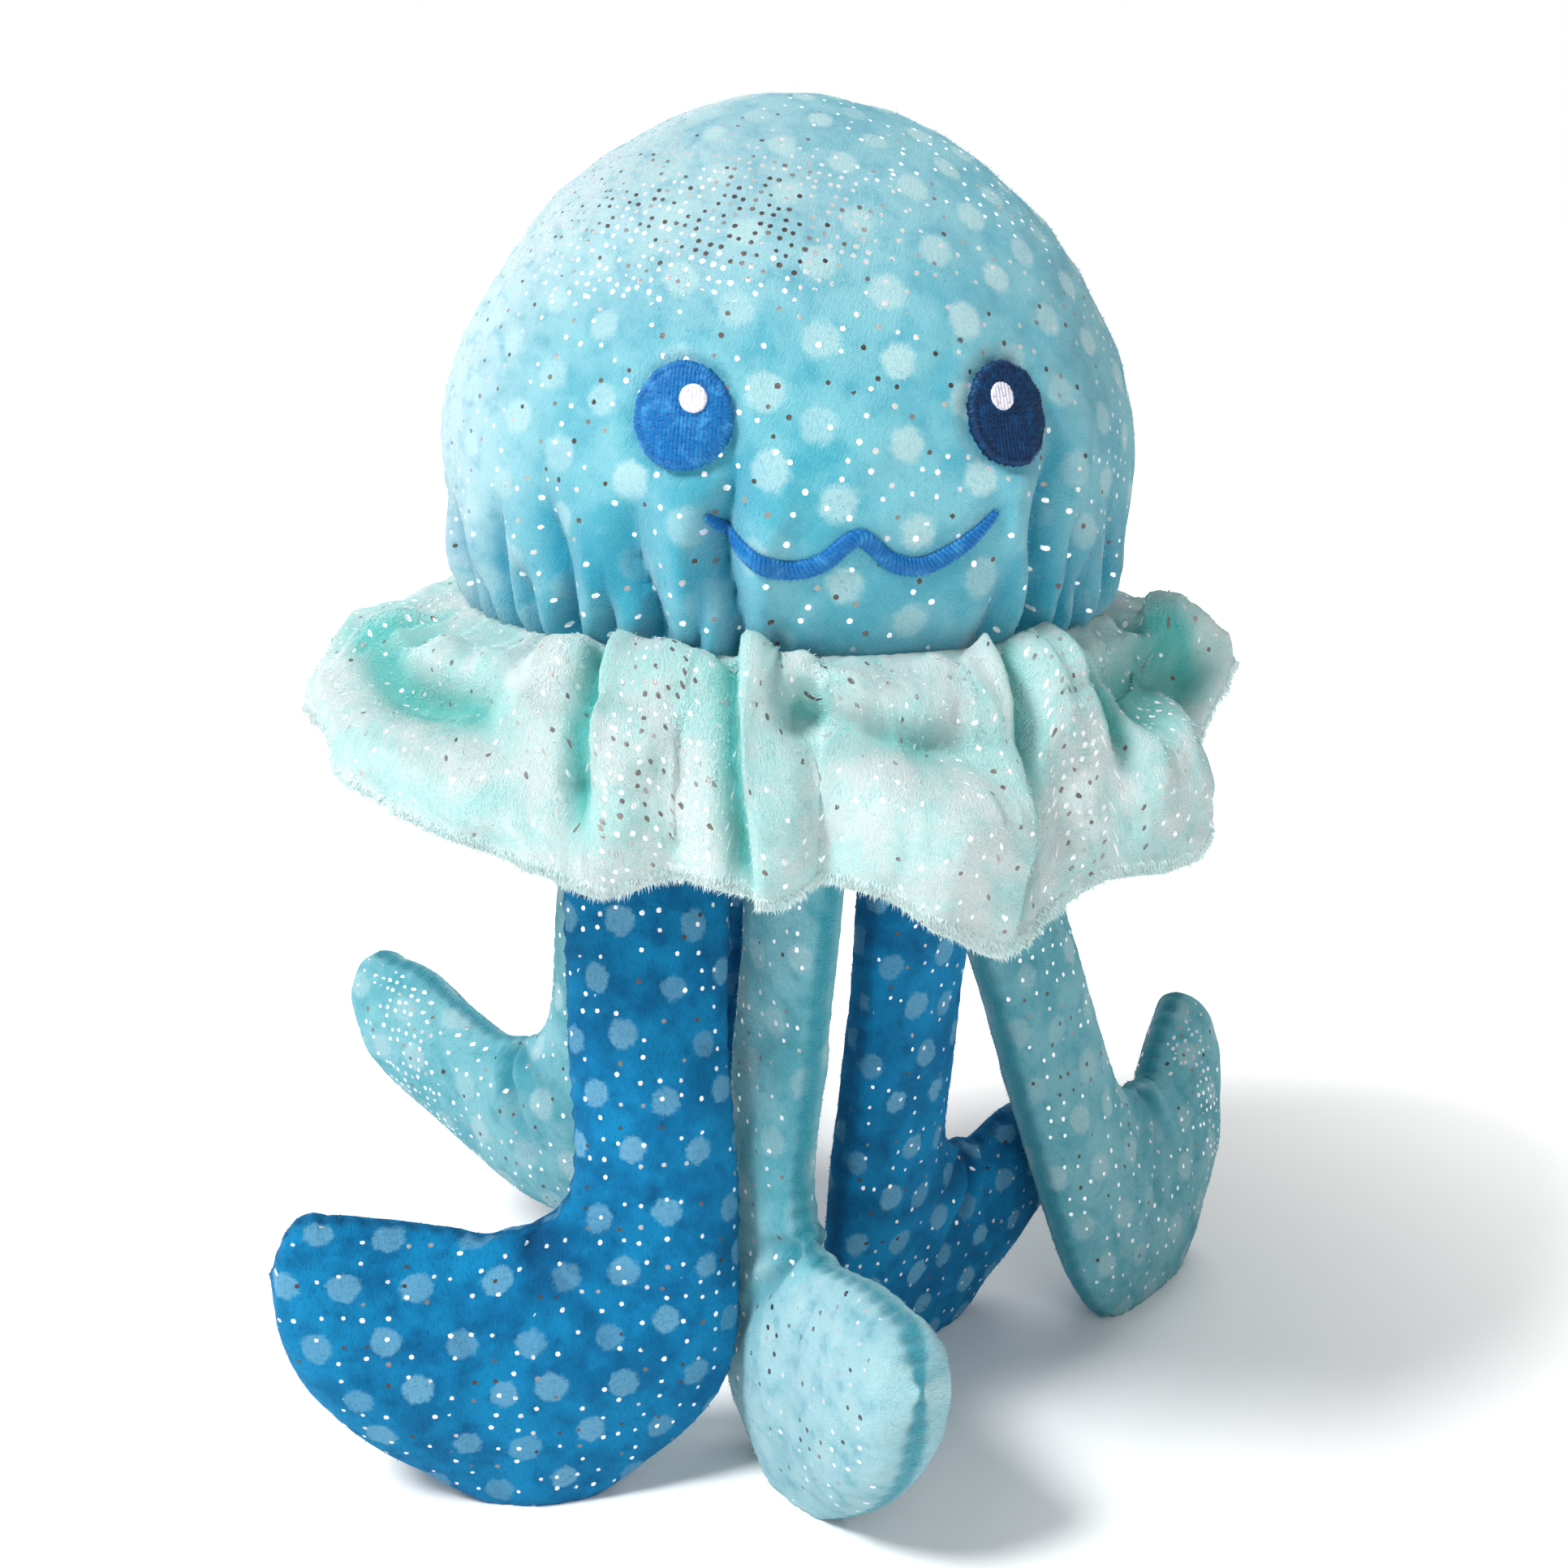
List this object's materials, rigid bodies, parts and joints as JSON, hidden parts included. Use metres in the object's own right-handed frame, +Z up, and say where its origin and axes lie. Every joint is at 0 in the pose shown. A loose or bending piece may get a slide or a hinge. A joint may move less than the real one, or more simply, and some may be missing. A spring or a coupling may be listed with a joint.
{
  "type": "plush dog toy",
  "caption": "Plush jellyfish dog toy: a domed head with an embroidered face, a gathered ruffle round its neck and boot-shaped arms below.",
  "frame": {"origin": "on the floor, in the middle of the toy's bounding box", "axes": "+Z up through the head, the face looks along -Y, +X to the toy's left hand as the viewer's right"},
  "size_m": [0.241, 0.2324, 0.2862],
  "materials": {
    "aqua_plush": "short velvet pile with soft dots and foil specks",
    "aqua_arm_plush": "short velvet pile with soft dots",
    "blue_plush": "short velvet pile with soft dots",
    "mint_plush": "longer plush pile with foil specks",
    "blue_thread": "glossy embroidery thread",
    "white_thread": "glossy embroidery thread",
    "fibre_fill": "loose polyester fibre",
    "squeaker_vinyl": "thin blown vinyl",
    "reed_plastic": "moulded"
  },
  "bodies": {
    "root": {"arm_back_left_left_panel": "aqua_arm_plush", "arm_back_left_right_panel": "aqua_arm_plush", "arm_back_left_stuffing": "fibre_fill", "arm_back_middle_left_panel": "blue_plush", "arm_back_middle_right_panel": "blue_plush", "arm_back_middle_stuffing": "fibre_fill", "arm_back_right_left_panel": "aqua_arm_plush", "arm_back_right_right_panel": "aqua_arm_plush", "arm_back_right_stuffing": "fibre_fill", "arm_front_left_left_panel": "blue_plush", "arm_front_left_right_panel": "blue_plush", "arm_front_left_stuffing": "fibre_fill", "arm_front_middle_left_panel": "aqua_arm_plush", "arm_front_middle_right_panel": "aqua_arm_plush", "arm_front_middle_stuffing": "fibre_fill", "arm_front_right_left_panel": "blue_plush", "arm_front_right_right_panel": "blue_plush", "arm_front_right_stuffing": "fibre_fill", "base_panel": "aqua_plush", "head_back_panel": "aqua_plush", "head_front_panel": "aqua_plush", "head_stuffing": "fibre_fill", "left_eye_embroidery": "blue_thread", "left_eye_highlight": "white_thread", "mouth_embroidery": "blue_thread", "right_eye_embroidery": "blue_thread", "right_eye_highlight": "white_thread", "ruffle_lining": "mint_plush", "ruffle_outer": "mint_plush", "squeaker_bulb": "squeaker_vinyl", "squeaker_reed": "reed_plastic"}
  },
  "joints": []
}
